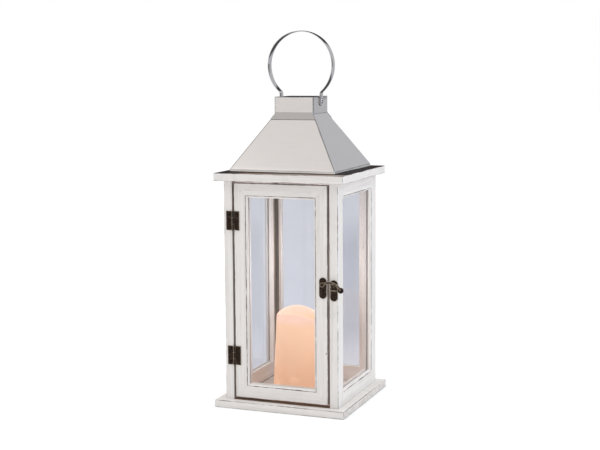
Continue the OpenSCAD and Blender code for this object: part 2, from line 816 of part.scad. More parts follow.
base_plate();
top_plate();
left_front_stile();
left_back_stile();
left_top_rail();
left_bottom_rail();
right_front_stile();
right_back_stile();
right_top_rail();
right_bottom_rail();
back_left_stile();
back_right_stile();
back_top_rail();
back_bottom_rail();
left_glass();
right_glass();
back_glass();
base_screws();
top_screws();
roof_shell();
roof_screws();
neck();
handle_rivets();
handle_strap();
upper_hinge_post_leaf();
lower_hinge_post_leaf();
upper_hinge_pin();
lower_hinge_pin();
post_hinge_nails();
keeper_plate();
keeper_peg();
keeper_nails();
door_hinge_stile();
door_latch_stile();
door_top_rail();
door_bottom_rail();
door_glass();
upper_hinge_door_leaf();
lower_hinge_door_leaf();
door_hinge_nails();
latch_plate();
latch_nails();
latch_rivet();
latch_hook();
candle_shell();
flame_tip();
candle_base();
circuit_board();
candle_led();
board_screws();
battery_cells();
upper_contacts();
switch_body();
battery_cover();
cover_contacts();
switch_slider();
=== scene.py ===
"""Candle lantern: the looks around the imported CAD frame. Metres, +Z up, the door faces -Y."""

import json
import math

import bmesh
import bpy
import numpy as np
from mathutils import Matrix, Vector, noise


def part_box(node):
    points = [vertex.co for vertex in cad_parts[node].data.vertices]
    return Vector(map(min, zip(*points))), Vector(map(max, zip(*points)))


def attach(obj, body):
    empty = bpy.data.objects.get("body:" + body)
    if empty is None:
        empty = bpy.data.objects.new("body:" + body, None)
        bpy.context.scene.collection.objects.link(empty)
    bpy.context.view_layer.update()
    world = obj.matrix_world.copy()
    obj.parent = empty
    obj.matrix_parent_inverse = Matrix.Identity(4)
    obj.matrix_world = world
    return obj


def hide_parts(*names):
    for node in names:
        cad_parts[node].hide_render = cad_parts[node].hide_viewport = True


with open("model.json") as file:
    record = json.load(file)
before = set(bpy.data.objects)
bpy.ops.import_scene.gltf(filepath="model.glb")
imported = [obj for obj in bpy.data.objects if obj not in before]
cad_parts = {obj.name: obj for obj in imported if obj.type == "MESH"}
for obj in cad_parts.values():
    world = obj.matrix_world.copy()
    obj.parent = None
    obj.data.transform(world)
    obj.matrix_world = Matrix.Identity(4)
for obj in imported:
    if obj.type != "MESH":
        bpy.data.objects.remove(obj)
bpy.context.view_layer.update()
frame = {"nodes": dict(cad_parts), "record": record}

MM = 0.001
X, Y, Z = 0, 1, 2
RECORD = frame["record"]
BODY_OF = {n: body for body, nodes in RECORD["behaviour"]["bodies"].items() for n in nodes}

WELD = 0.002 * MM
SHARP = math.radians(28)
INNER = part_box("right_front_stile")[0].x
FLOOR_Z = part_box("base_plate")[1].z
CEILING_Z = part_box("top_plate")[0].z
DECK_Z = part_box("top_plate")[1].z
FACE_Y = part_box("left_front_stile")[0].y
ROOF_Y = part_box("roof_shell")[0].y


# ---------------------------------------------------------------- node trees


def add(tree, kind, inputs=None, **props):
    """A shader node; an input is given a value, or linked if it is given a socket."""
    node = tree.nodes.new("ShaderNode" + kind)
    for key, value in props.items():
        setattr(node, key, value)
    for key, value in (inputs or {}).items():
        if isinstance(value, bpy.types.NodeSocket):
            tree.links.new(value, node.inputs[key])
        else:
            node.inputs[key].default_value = value
    return node


def material(name):
    """A new material with an empty tree: (material, tree, its Principled node)."""
    made = bpy.data.materials.new(name)
    made.use_nodes = True
    tree = made.node_tree
    return made, tree, tree.nodes["Principled BSDF"]


def colour(r, g, b):
    """A linear colour from sRGB values of 0 to 255."""
    def linear(v):
        v /= 255
        return v / 12.92 if v <= 0.04045 else ((v + 0.055) / 1.055) ** 2.4

    return (linear(r), linear(g), linear(b), 1.0)


def darker(tone, share):
    """A colour with its red, green and blue times share."""
    return tuple(share * c for c in tone[:3]) + (1.0,)


def mix(tree, factor, a, b):
    """The colour output of a mix from a to b."""
    node = add(tree, "Mix", {0: factor, 6: a, 7: b}, data_type="RGBA")
    return node.outputs[2]


def ramp(tree, value, low, high):
    """0 below low, 1 above high, and smooth between."""
    node = add(tree, "MapRange", {"Value": value, "From Min": low, "From Max": high},
               interpolation_type="SMOOTHSTEP")
    return node.outputs["Result"]


def spread(tree, value, low, high):
    """Linear: low where the value is 0, high where it is 1."""
    return add(tree, "MapRange", {"Value": value, "To Min": low, "To Max": high}).outputs["Result"]


def maths(tree, operation, a, b=0.0):
    return add(tree, "Math", {0: a, 1: b}, operation=operation).outputs[0]


def jittered(tree, value, pattern, amount):
    """The value moved up and down by amount times a pattern that averages a half."""
    shift = maths(tree, "MULTIPLY", maths(tree, "SUBTRACT", pattern, 0.5), amount)
    return maths(tree, "ADD", value, shift)


def spots(tree, scale, detail=3.0, rough=0.55, warp=0.0):
    """Noise over object coordinates; scale is in features per metre, one number or one per axis."""
    place = add(tree, "TexCoord").outputs["Object"]
    scale = (scale,) * 3 if isinstance(scale, (int, float)) else scale
    moved = add(tree, "Mapping", {"Vector": place, "Scale": scale}).outputs["Vector"]
    return add(tree, "TexNoise", {"Vector": moved, "Scale": 1.0, "Detail": detail,
                                  "Roughness": rough, "Distortion": warp}).outputs["Fac"]


def attribute(tree, name):
    return add(tree, "Attribute", attribute_name=name).outputs["Fac"]


def bump(tree, shader, height, distance, strength=1.0):
    node = add(tree, "Bump", {"Height": height, "Distance": distance, "Strength": strength})
    tree.links.new(node.outputs["Normal"], shader.inputs["Normal"])


# ---------------------------------------------------------------- materials


PAINT_PALE = colour(227, 223, 220)
PAINT_GREY = colour(218, 213, 209)
PAINT_FIBRE = colour(196, 191, 185)
PAINT_PATCH = colour(213, 209, 204)
KNOT_TONE = colour(128, 112, 101)
# Bare timber and dark stain; inside the lantern and in the door's gap these tones also serve as painted
# shade.
TIMBER_PALE = colour(150, 130, 115)
TIMBER_DEEP = colour(90, 75, 66)
STAIN_AND_SHADE_TONE = colour(46, 40, 38)
RUBBED_WOOD = colour(84, 72, 65)
PATINA_PALE = colour(60, 47, 40)
PATINA_DEEP = colour(26, 21, 19)
DIMPLE_TONE = colour(98, 92, 86)
RUBBED_BRONZE_HIGHLIGHT = colour(178, 166, 148)
WAX_DEPTH = (0.1, 0.05, 0.03, 1)


def painted_wood(grain):
    """Whitewash over pale wood with its grain along one axis, rubbed through along the edges."""
    made, tree, shader = material(f"whitewash_{'xyz'[grain]}")

    def along(across, length):
        return tuple(length if axis == grain else across for axis in (X, Y, Z))

    fibre = spots(tree, along(900, 22), 4.0, 0.62, 0.2)
    streak = spots(tree, along(260, 6), 3.0, 0.55, 0.4)
    patch = spots(tree, 38, 4.0, 0.6)
    nick = spots(tree, along(700, 150), 3.0, 0.6)

    paint = mix(tree, ramp(tree, streak, 0.35, 0.72), PAINT_PALE, PAINT_GREY)
    paint = mix(tree, ramp(tree, fibre, 0.52, 0.80), paint, PAINT_FIBRE)
    paint = mix(tree, ramp(tree, patch, 0.54, 0.80), paint, PAINT_PATCH)
    cell = add(tree, "TexVoronoi", {"Vector": add(tree, "TexCoord").outputs["Object"], "Scale": 34.0})
    knot = maths(tree, "ADD", cell.outputs["Distance"], maths(tree, "MULTIPLY", fibre, 0.03))
    knot = maths(tree, "SUBTRACT", 1.0, ramp(tree, knot, 0.03, 0.062))
    paint = mix(tree, maths(tree, "MULTIPLY", knot, 0.75), paint, KNOT_TONE)
    timber = mix(tree, ramp(tree, fibre, 0.35, 0.7), TIMBER_PALE, TIMBER_DEEP)
    # The face attribute thins the paint to bare timber and dark stain; in the door's gap and inside, the
    # same tones are painted shade.
    thin = jittered(tree, attribute(tree, "bare_and_shade"), streak, 0.5)
    paint = mix(tree, ramp(tree, thin, 0.0, 1.0), paint, timber)
    paint = mix(tree, ramp(tree, thin, 1.2, 1.6), paint, STAIN_AND_SHADE_TONE)
    rub = jittered(tree, jittered(tree, attribute(tree, "wear"), patch, 1.3), nick, 1.1)
    bare = ramp(tree, rub, 0.56, 0.84)
    tree.links.new(mix(tree, bare, paint, RUBBED_WOOD), shader.inputs["Base Color"])
    tree.links.new(spread(tree, streak, 0.48, 0.66), shader.inputs["Roughness"])
    height = maths(tree, "SUBTRACT", maths(tree, "MULTIPLY", streak, 1.2), fibre)
    height = maths(tree, "SUBTRACT", height, bare)
    bump(tree, shader, height, 0.12 * MM, 0.8)
    shader.inputs["Specular IOR Level"].default_value = 0.3
    return made


def sheet_steel(name, tone, rough, brush):
    """Satin or polished sheet steel: brush lines across, faint smears and darker worn edges."""
    made, tree, shader = material(name)
    lines = spots(tree, brush, 3.0, 0.6)
    smear = spots(tree, 30, 3.0, 0.5, 0.6)
    tint = mix(tree, ramp(tree, lines, 0.3, 0.7), tone, darker(tone, 0.97))
    tint = mix(tree, ramp(tree, smear, 0.55, 0.9), tint, darker(tone, 0.95))
    scuff = ramp(tree, jittered(tree, attribute(tree, "wear"), smear, 0.8), 0.3, 0.8)
    tint = mix(tree, maths(tree, "MULTIPLY", scuff, 0.6), tint, darker(tone, 0.4))
    tree.links.new(tint, shader.inputs["Base Color"])
    gloss = spread(tree, smear, rough * 0.8, rough * 1.25)
    matt = maths(tree, "ADD", gloss, maths(tree, "MULTIPLY", scuff, 0.1))
    tree.links.new(matt, shader.inputs["Roughness"])
    shader.inputs["Metallic"].default_value = 1.0
    bump(tree, shader, lines, 0.006 * MM, 0.2)
    return made


def antique_bronze():
    """Dark patina, hammered a little, with the metal showing through on its edges, which also serve as
    painted highlights.
    """
    made, tree, shader = material("antique_bronze")
    patch = spots(tree, 420, 3.0, 0.6)
    dimple = spots(tree, 900, 2.0, 0.5)
    dark = mix(tree, ramp(tree, patch, 0.35, 0.7), PATINA_PALE, PATINA_DEEP)
    dark = mix(tree, ramp(tree, dimple, 0.55, 0.75), dark, DIMPLE_TONE)
    # Wear and painted highlight: bright metal on the edges and along the extra highlight lines.
    bright = ramp(tree, jittered(tree, attribute(tree, "wear"), patch, 0.8), 0.6, 1.15)
    tree.links.new(mix(tree, bright, dark, RUBBED_BRONZE_HIGHLIGHT), shader.inputs["Base Color"])
    tree.links.new(spread(tree, patch, 0.28, 0.5), shader.inputs["Roughness"])
    shader.inputs["Metallic"].default_value = 1.0
    bump(tree, shader, dimple, 0.08 * MM, 0.6)
    return made


def window_glass():
    """A clear pane with a cool tint: it passes light straight on and mirrors a little."""
    made, tree, shader = material("window_glass")
    tree.nodes.remove(shader)
    film = spots(tree, 24, 4.0, 0.6)
    tint = mix(tree, ramp(tree, film, 0.3, 0.8), (0.965, 0.970, 0.975, 1), (0.945, 0.950, 0.955, 1))
    clear = add(tree, "BsdfTransparent", {"Color": tint})
    gloss = add(tree, "BsdfGlossy", {"Color": (1, 1, 1, 1), "Roughness": spread(tree, film, 0.02, 0.06)})
    slant = add(tree, "LayerWeight", {"Blend": 0.5}).outputs["Facing"]
    share = maths(tree, "MULTIPLY", maths(tree, "POWER", slant, 5.0), 0.6)
    share = maths(tree, "ADD", share, 0.04)
    both = add(tree, "MixShader", {0: share, 1: clear.outputs[0], 2: gloss.outputs[0]})
    tree.links.new(both.outputs[0], tree.nodes["Material Output"].inputs["Surface"])
    return made


def glowing_wax(name, node, low, high, rim, glow):
    """Translucent wax lit from inside, from low in colour at the node's foot to rim at its top."""
    made, tree, shader = material(name)
    foot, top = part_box(node)
    place = add(tree, "TexCoord").outputs["Object"]
    height = add(tree, "SeparateXYZ", {0: place}).outputs["Z"]
    cloud = spots(tree, 60, 3.0, 0.5)
    rise = ramp(tree, height, foot.z, top.z)
    tint = mix(tree, rise, low, high)
    tint = mix(tree, ramp(tree, rise, 0.93, 0.98), tint, rim)
    tint = mix(tree, ramp(tree, cloud, 0.5, 0.9), tint, darker(high, 0.96))
    tree.links.new(mix(tree, 0.85, tint, WAX_DEPTH), shader.inputs["Base Color"])
    tree.links.new(tint, shader.inputs["Emission Color"])
    shader.inputs["Emission Strength"].default_value = glow
    shader.inputs["Roughness"].default_value = 0.42
    shader.inputs["Subsurface Weight"].default_value = 0.25
    shader.inputs["Subsurface Radius"].default_value = (1.0, 0.45, 0.25)
    shader.inputs["Subsurface Scale"].default_value = 3 * MM
    bump(tree, shader, spots(tree, 160, 3.0, 0.5), 0.15 * MM, 0.5)
    return made


def moulded_plastic(name, tone, rough=0.5, metal=0.0, scale=1400):
    """A fine moulded or plated texture, a little uneven in tone."""
    made, tree, shader = material(name)
    grain = spots(tree, scale, 2.0, 0.5)
    cloud = spots(tree, 90, 3.0, 0.5)
    tint = mix(tree, ramp(tree, cloud, 0.35, 0.8), tone, darker(tone, 0.82))
    tree.links.new(tint, shader.inputs["Base Color"])
    tree.links.new(spread(tree, grain, rough * 0.85, rough * 1.2), shader.inputs["Roughness"])
    shader.inputs["Metallic"].default_value = metal
    bump(tree, shader, grain, 0.03 * MM, 0.5)
    return made


# ---------------------------------------------------------------- mesh helpers


def new_object(name, data):
    """An object in the scene."""
    obj = bpy.data.objects.new(name, data)
    bpy.context.scene.collection.objects.link(obj)
    return obj


def solids(node):
    """The box of each separate solid in a CAD node, as (lowest corner, highest corner)."""
    bm = bmesh.new()
    bm.from_mesh(frame["nodes"][node].data)
    bmesh.ops.remove_doubles(bm, verts=bm.verts, dist=WELD)
    left, found = set(bm.verts), []
    for start in bm.verts:
        if start not in left:
            continue
        left.discard(start)
        group, front = [start], [start]
        while front:
            near = [e.other_vert(v) for v in front for e in v.link_edges]
            front = [v for v in dict.fromkeys(near) if v in left]
            left.difference_update(front)
            group += front
        places = np.array([v.co for v in group])
        found.append((Vector(places.min(0)), Vector(places.max(0))))
    bm.free()
    return found


def loft(bm, rows, caps=False):
    """Quads through rows of points. Each row closes on itself; the rows close too, unless capped."""
    verts = [[bm.verts.new(p) for p in row] for row in rows]
    pairs = list(zip(verts, verts[1:])) + ([] if caps else [(verts[-1], verts[0])])
    for a, b in pairs:
        for i in range(len(a)):
            j = (i + 1) % len(a)
            bm.faces.new((a[i], a[j], b[j], b[i]))
    if caps:
        bm.faces.new(verts[0][::-1])
        bm.faces.new(verts[-1])


def turned(bm, profile, place, axis, segments=32, dent=None):
    """A turned solid: profile runs from the axis out and back to it, as (radius, height).
    dent(radius, angle) says how deep a recess in its flat top is."""
    turn = Vector((0, 0, 1)).rotation_difference(Vector(axis)).to_matrix().to_4x4()
    turn = Matrix.Translation(place) @ turn

    def point(r, h, k):
        a = 2 * math.pi * k / segments
        drop = dent(r, a) if dent and h >= profile[-1][1] - 1e-9 else 0.0
        return turn @ Vector((r * math.cos(a), r * math.sin(a), h - drop))

    rings = [[bm.verts.new(point(r, h, k)) for k in range(segments)] for r, h in profile[1:-1]]
    ends = [bm.verts.new(point(0, profile[0][1], 0)), bm.verts.new(point(0, profile[-1][1], 0))]
    for k in range(segments):
        j = (k + 1) % segments
        bm.faces.new((ends[0], rings[0][j], rings[0][k]))
        bm.faces.new((ends[1], rings[-1][k], rings[-1][j]))
        for a, b in zip(rings, rings[1:]):
            bm.faces.new((a[k], a[j], b[j], b[k]))


def clean_copy(node):
    """A CAD node's mesh, welded, with its flat faces whole again."""
    bm = bmesh.new()
    bm.from_mesh(frame["nodes"][node].data)
    bmesh.ops.remove_doubles(bm, verts=bm.verts, dist=WELD)
    bmesh.ops.dissolve_limit(bm, angle_limit=math.radians(1), verts=bm.verts, edges=bm.edges)
    return bm


def sharp_edges(bm):
    return [e for e in bm.edges if len(e.link_faces) == 2 and e.calc_face_angle(0) > SHARP]


def bevelled(bm, width, segments, weigh, clamp=True):
    """The mesh with its sharp edges rounded, each by width times weigh(edge)."""
    layer = bm.edges.layers.float.new("bevel_weight_edge")
    for e in sharp_edges(bm):
        e[layer] = weigh(e)
    rough = bpy.data.meshes.new("rough")
    bm.to_mesh(rough)
    bm.free()
    holder = new_object("rough", rough)
    soften = holder.modifiers.new("soften", "BEVEL")
    soften.limit_method = "WEIGHT"
    soften.width = width
    soften.segments = segments
    soften.use_clamp_overlap = clamp
    depsgraph = bpy.context.evaluated_depsgraph_get()
    done = bpy.data.meshes.new_from_object(holder.evaluated_get(depsgraph))
    bpy.data.objects.remove(holder)
    out = bmesh.new()
    out.from_mesh(done)
    return out


def stations(low, high, pitch):
    """Places between low and high that divide it evenly, about a pitch apart."""
    count = max(1, round((high - low) / pitch))
    return [low + (high - low) * k / count for k in range(1, count)]


def sliced(bm, axis, places):
    """Cuts the faces along planes across one axis, so that they can bend and carry wear."""
    for place in places:
        at = Vector((0, 0, 0))
        at[axis] = place
        across = Vector((0, 0, 0))
        across[axis] = 1
        bmesh.ops.bisect_plane(bm, geom=bm.verts[:] + bm.edges[:] + bm.faces[:], dist=WELD,
                               plane_co=at, plane_no=across)


def worn_edges(bm):
    """Every sharp edge, as (start, end, 1)."""
    return [[np.array(v.co) for v in e.verts] + [1.0] for e in sharp_edges(bm)]


def nearness(bm, edges, reach):
    """For each vertex, 1 on a worn edge and fading over reach; edges are (start, end, weight)."""
    places = np.array([v.co for v in bm.verts])
    near = np.zeros(len(places))
    for start, end, weight in edges:
        run = end - start
        t = np.clip((places - start) @ run / (run @ run), 0, 1)
        gap = np.linalg.norm(places - start - t[:, None] * run, axis=1)
        near = np.maximum(near, weight * np.clip(1.2 - gap / reach, 0, 1))
    return near


def piece(name, bm, made, *nodes, wear=None, bare_and_shade=None, smooth=SHARP):
    """Turns a bmesh into the piece that stands for some CAD nodes and rides on their body."""
    bmesh.ops.recalc_face_normals(bm, faces=bm.faces)
    for face in bm.faces:
        face.smooth = True
    for e in bm.edges:
        e.smooth = len(e.link_faces) == 2 and e.calc_face_angle(0) < smooth
    mesh = bpy.data.meshes.new(name)
    bm.to_mesh(mesh)
    bm.free()
    if wear is not None:
        mesh.attributes.new("wear", "FLOAT", "POINT").data.foreach_set("value", wear)
    if bare_and_shade is not None:
        mesh.attributes.new("bare_and_shade", "FLOAT", "FACE").data.foreach_set("value", bare_and_shade)
    mesh.materials.append(made)
    obj = new_object(name, mesh)
    flat = obj.modifiers.new("flat_faces", "WEIGHTED_NORMAL")
    flat.keep_sharp = True
    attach(obj, BODY_OF[nodes[0]])
    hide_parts(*nodes)


# ---------------------------------------------------------------- wood


WOODS = {
    "base_plate": X, "top_plate": X,
    "left_front_stile": Z, "left_back_stile": Z, "left_top_rail": Y, "left_bottom_rail": Y,
    "right_front_stile": Z, "right_back_stile": Z, "right_top_rail": Y, "right_bottom_rail": Y,
    "back_left_stile": Z, "back_right_stile": Z, "back_top_rail": X, "back_bottom_rail": X,
    "door_hinge_stile": Z, "door_latch_stile": Z, "door_top_rail": X, "door_bottom_rail": X,
}
WOOD_BOXES = {n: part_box(n) for n in WOODS}
RUB = 0.72 * MM
FLOOR_SEAM_SHADE_W = 1.3 * MM
BACK_SHADE_W = 5 * MM
SIDE_SHADE_W = 3.5 * MM
GAP_X = 3 * MM
GAP_Z = 3.5 * MM
FADE_FROM = -66 * MM
FADE_RUN = 60 * MM

# How bare a face is: 0 is painted, 1 is bare timber, and above 1.2 it is stained dark; the door's gap and
# the inside use these tones as painted shade.
BARE_AND_SHADE = {
    "deck": 1.7, "deck_right": 0.75, "end_grain": 0.3, "gap_floor_shadow": 1.0, "gap": 0.5,
    "room_floor_shade": 0.32, "floor_seam_shade": 1.3, "back_corner_shade": 1.45, "back_post_shade": 0.45,
    "side_corner_shade": 1.1, "room": 0.05, "outside": 0.0,
}


def covered(p, own):
    """True where another wooden member touches or covers the point."""
    slack = 0.3 * MM
    return any(
        all(lo[a] - slack < p[a] < hi[a] + slack for a in (X, Y, Z))
        for n, (lo, hi) in WOOD_BOXES.items()
        if n != own and n.startswith("door") == own.startswith("door")
    )


def bareness_and_shade(p, n):
    """How little paint a face has: stained on the deck; bare timber with painted shade in the door's gap;
    painted shade and a faint painted candle glow inside.
    """
    slack = 0.2 * MM
    if n.z > 0.9 and p.z > DECK_Z - slack:
        fade = min(1.0, max(0.0, (p.x - FADE_FROM) / FADE_RUN)) if p.y <= ROOF_Y else 0.0
        return BARE_AND_SHADE["deck"] + (BARE_AND_SHADE["deck_right"] - BARE_AND_SHADE["deck"]) * fade
    if p.z < FLOOR_Z and abs(n.x) > 0.9:
        return BARE_AND_SHADE["end_grain"]
    if not FLOOR_Z - slack < p.z < CEILING_Z + slack:
        return BARE_AND_SHADE["outside"]
    # Painted shade: faces in the door's gap are bare timber with painted shade, and the floor under the
    # door gets a darker painted shadow.
    in_doorway = FACE_Y - slack < p.y < slack - INNER and abs(p.x) < INNER + slack
    if in_doorway and abs(n.y) < 0.5:
        beside = abs(n.x) > 0.9 and abs(p.x) > INNER - GAP_X
        above = abs(n.z) > 0.9 and min(p.z - FLOOR_Z, CEILING_Z - p.z) < GAP_Z
        if beside or above:
            return BARE_AND_SHADE["gap_floor_shadow" if p.z < FLOOR_Z + slack else "gap"]
    from_middle = max(abs(p.x), abs(p.y))
    if from_middle > INNER + slack:
        return BARE_AND_SHADE["outside"]
    # Painted shade: the inside floor is painted grey-brown, with a dark painted seam of shade along the
    # foot of the walls.
    if p.z < FLOOR_Z + slack:
        return BARE_AND_SHADE["room_floor_shade" if from_middle < INNER - FLOOR_SEAM_SHADE_W else "floor_seam_shade"]
    # Painted shade in the back-left corner: the back post's face is painted dark next to the corner and
    # brownish beyond, and the side frame's inner face beside it dark.
    if p.y > INNER - slack and p.x < 0 and n.y < -0.9:
        return BARE_AND_SHADE["back_corner_shade" if p.x < BACK_SHADE_W - INNER else "back_post_shade"]
    if p.y > INNER - SIDE_SHADE_W and n.x > 0.9 and p.x < 0:
        return BARE_AND_SHADE["side_corner_shade"]
    # Painted light: the other inside faces get a faint timber tint that stands for the candle's warm light.
    return BARE_AND_SHADE["room"]


def rub_weight(e, node):
    """How much an edge is handled: outside edges fully, inside ones little, the pane's groove hardly."""
    low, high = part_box(node)
    middle = (e.verts[0].co + e.verts[1].co) / 2
    slack = 0.1 * MM
    on_box = [a for a in (X, Y, Z) if min(middle[a] - low[a], high[a] - middle[a]) < slack]
    thin = min((X, Y, Z), key=lambda a: high[a] - low[a])
    outer = abs(middle[thin]) > abs((low[thin] + high[thin]) / 2) + slack or thin == Z
    if covered(middle, node):
        return 0.55
    if thin != Z and thin not in on_box and len(on_box) < 2:
        return 0.1
    if not outer:
        return 0.5 if middle.x > 0 else 0.25
    return 1.0


def board(node, grain, made):
    """One wooden member: eased and chipped edges, and the marks that say where paint is thin or where shade
    is painted.
    """
    bm = clean_copy(node)
    worn, cuts = [], {X: set(), Y: set(), Z: set()}

    def weigh(e):
        length = e.calc_length()
        weight = rub_weight(e, node)
        if length > 6 * MM:
            start, end = (np.array(v.co) for v in e.verts)
            worn.append([start, end, weight])
            for axis in (X, Y, Z):
                if abs(end[axis] - start[axis]) < WELD:
                    cuts[axis].add(round(float(start[axis]) / MM, 1))
        return (1.0 if weight > 0.8 else 0.35) if length > 3 * MM else 0.0

    bm = bevelled(bm, 0.55 * MM, 2, weigh)
    low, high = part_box(node)
    for axis in (X, Y, Z):
        pitch = (3.5 if axis == grain else 7.0) * MM
        places = set()
        if high[axis] - low[axis] > 30 * MM:
            places = set(stations(low[axis], high[axis], pitch))
        for cut in cuts[axis]:
            places |= {cut * MM - 1.2 * RUB, cut * MM + 1.2 * RUB}
        sliced(bm, axis, sorted(places))
    paint_lines = [(X, -INNER), (Y, -INNER), (X, INNER), (Y, INNER), (X, BACK_SHADE_W - INNER)]
    if node == "base_plate":
        paint_lines += [(axis, place) for place in (FLOOR_SEAM_SHADE_W - INNER, INNER - FLOOR_SEAM_SHADE_W) for axis in (X, Y)]
    for axis, place in paint_lines + [(Y, FACE_Y), (Y, INNER - SIDE_SHADE_W)]:
        sliced(bm, axis, [place])
    near = nearness(bm, worn, RUB)
    bm.normal_update()
    for v, closeness in zip(bm.verts, near):
        chip = max(0.0, noise.noise(v.co * 260)) + 0.5 * max(0.0, noise.noise(v.co * 700))
        v.co -= v.normal * (0.45 * MM * chip * max(0.0, closeness - 0.5))
    bare_and_shade = [bareness_and_shade(f.calc_center_median(), f.normal) for f in bm.faces]
    piece(node + "_board", bm, made, node, wear=near, bare_and_shade=bare_and_shade)


# ---------------------------------------------------------------- metal and other parts


def hardware(node, made, width, segments=2, reach=0.35 * MM, pitch=None, wear_and_highlight_lines=()):
    """A CAD node with its edges eased by width, and bright where they are worn, which also paints
    highlights on them. A pitch cuts its faces small enough to carry that wear; the extra lines add more
    worn lines and painted highlights as (start, end, weight)."""
    bm = clean_copy(node)
    worn = worn_edges(bm) + list(wear_and_highlight_lines)
    bm = bevelled(bm, width, segments, lambda e: 1.0)
    if pitch:
        low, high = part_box(node)
        for axis in (X, Y, Z):
            sliced(bm, axis, stations(low[axis], high[axis], pitch))
    piece(node + "_part", bm, made, node, wear=nearness(bm, worn, reach))


def folded(node, made, width):
    """A part folded from sheet: round outside bends, crisp cut edges, and scuffs along both."""
    bm = clean_copy(node)
    worn = worn_edges(bm)

    def weigh(e):
        fold = e.is_convex and min(f.calc_area() for f in e.link_faces) > 100 * MM * MM
        return 1.0 if fold else 0.1

    bm = bevelled(bm, width, 4, weigh, clamp=False)
    low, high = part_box(node)
    for axis in (X, Y, Z):
        sliced(bm, axis, stations(low[axis], high[axis], 8 * MM))
    piece(node + "_sheet", bm, made, node, wear=nearness(bm, worn, 0.9 * width))


def studs(node, made, axis, profile, segments=24, dent=None):
    """The solids of a node turned again: profile(radius, length) gives (radius, height) points."""
    bm = bmesh.new()
    across = X if abs(axis[X]) < 0.5 else Y
    main = max((X, Y, Z), key=lambda a: abs(axis[a]))
    for low, high in solids(node):
        foot = (low + high) / 2
        foot[main] = low[main] if axis[main] > 0 else high[main]
        radius = (high[across] - low[across]) / 2
        turned(bm, profile(radius, high[main] - low[main]), foot, axis, segments, dent)
    piece(node + "_set", bm, made, node, wear=[0.3] * len(bm.verts))


def dome_points(radius, base, rise, steps=5):
    """Points from a dome's rim to its crown."""
    return [(radius * math.cos(a), base + rise * math.sin(a))
            for a in (math.pi / 2 * k / steps for k in range(steps + 1))]


def nail_profile(radius, length):
    rise = 0.5 * MM
    shank = radius * 0.45
    return [(0, 0), (shank * 0.3, 0), (shank, 1.2 * MM), (shank, length - rise),
            (radius, length - rise)] + dome_points(radius, length - rise, rise)[1:]


def screw_profile(radius, length):
    """A countersunk wood screw: point, threads, cone and a flat head."""
    core, crest = radius * 0.36, radius * 0.5
    cone = radius * 0.5
    points = [(0, 0), (core * 0.4, 0.4 * MM), (core, 2.5 * MM)]
    pitch = 1.1 * MM
    for k in range(int((length - cone - 6 * MM) / pitch)):
        base = 2.5 * MM + k * pitch
        points += [(core, base + 0.3 * pitch), (crest, base + 0.5 * pitch), (core, base + 0.7 * pitch)]
    face = [(radius * k / 8, length) for k in range(8, 0, -1)]
    return points + [(crest, length - cone - 2 * MM), (crest, length - cone)] + face + [(0, length)]


def cross_recess(radius):
    """How deep a cross recess is at a place on a screw's face."""
    def depth(r, angle):
        x, y = abs(r * math.cos(angle)), abs(r * math.sin(angle))
        return 0.9 * MM if max(x, y) < 0.62 * radius and min(x, y) < 0.17 * radius else 0.0

    return depth


def pan_profile(radius, length):
    shank, rise = radius * 0.58, 1.6 * MM
    return [(0, 0), (shank * 0.5, 0.1 * MM), (shank, 1.2 * MM), (shank, length - rise),
            (radius, length - rise)] + dome_points(radius, length - rise, rise, 8)[1:]


BALL_R = 3.1 * MM
STRAP_T = 1.2 * MM
TAB_X = 23.55 * MM
SCREW_HEAD_R = 3 * MM


def ring_handle(made):
    """The handle: a flat strap bent into a ring, with a rounded tab at each end."""
    low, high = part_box("handle_strap")
    radius, half_w = high.x - STRAP_T / 2, (high.y - low.y) / 2
    centre_z = high.z - high.x
    foot = math.asin(TAB_X / radius)
    bend_z = centre_z - radius * math.cos(foot)
    ease = 2.2 * MM
    side = [Vector((TAB_X, 0, low.z + 0.02 * MM))]
    while side[-1].z < bend_z - ease - 0.4 * MM:
        side.append(side[-1] + Vector((0, 0, 0.4 * MM)))
    start, end = Vector((TAB_X, 0, bend_z - ease)), foot + ease / radius

    def on_ring(a):
        return Vector((radius * math.sin(a), 0, centre_z - radius * math.cos(a)))

    corner = Vector((TAB_X, 0, bend_z))
    for k in range(7):
        t = k / 6
        side.append(start.lerp(corner, t).lerp(corner.lerp(on_ring(end), t), t))
    steps = 72
    side += [on_ring(end + (math.pi - end) * k / steps) for k in range(1, steps + 1)]
    path = side + [Vector((-p.x, 0, p.z)) for p in side[-2::-1]]
    tip = half_w * 1.06
    edge = STRAP_T * 0.25
    dome = 0.34 * MM
    quarter = [(0, 0.3), (0, 0.6), (0, 1), (45, 1), (90, 1)]
    rows = []
    run = 0.0
    total = sum((b - a).length for a, b in zip(path, path[1:]))
    for k, p in enumerate(path):
        if k:
            run += (p - path[k - 1]).length
        ahead = (path[min(k + 1, len(path) - 1)] - path[max(k - 1, 0)]).normalized()
        out = Vector((ahead.z, 0, -ahead.x))
        reach = min(run, total - run, tip)
        half = min(half_w, math.sqrt(max(tip * tip - (tip - reach) ** 2, (0.6 * MM) ** 2)))
        row = []
        for sx, sy in ((1, 1), (-1, 1), (-1, -1), (1, -1)):
            for a, share in (quarter if sx * sy > 0 else quarter[::-1]):
                v = (half - edge) * share + edge * math.sin(math.radians(a))
                sink = dome * (v / half_w) ** 2 if a < 90 else 0.0
                u = STRAP_T / 2 - edge + edge * math.cos(math.radians(a)) - sink
                row.append(p + out * sx * u + Vector((0, sy * v, 0)))
        rows.append(row)
    bm = bmesh.new()
    loft(bm, rows, caps=True)
    piece("ring_handle", bm, made, "handle_strap", wear=[0.0] * len(bm.verts))


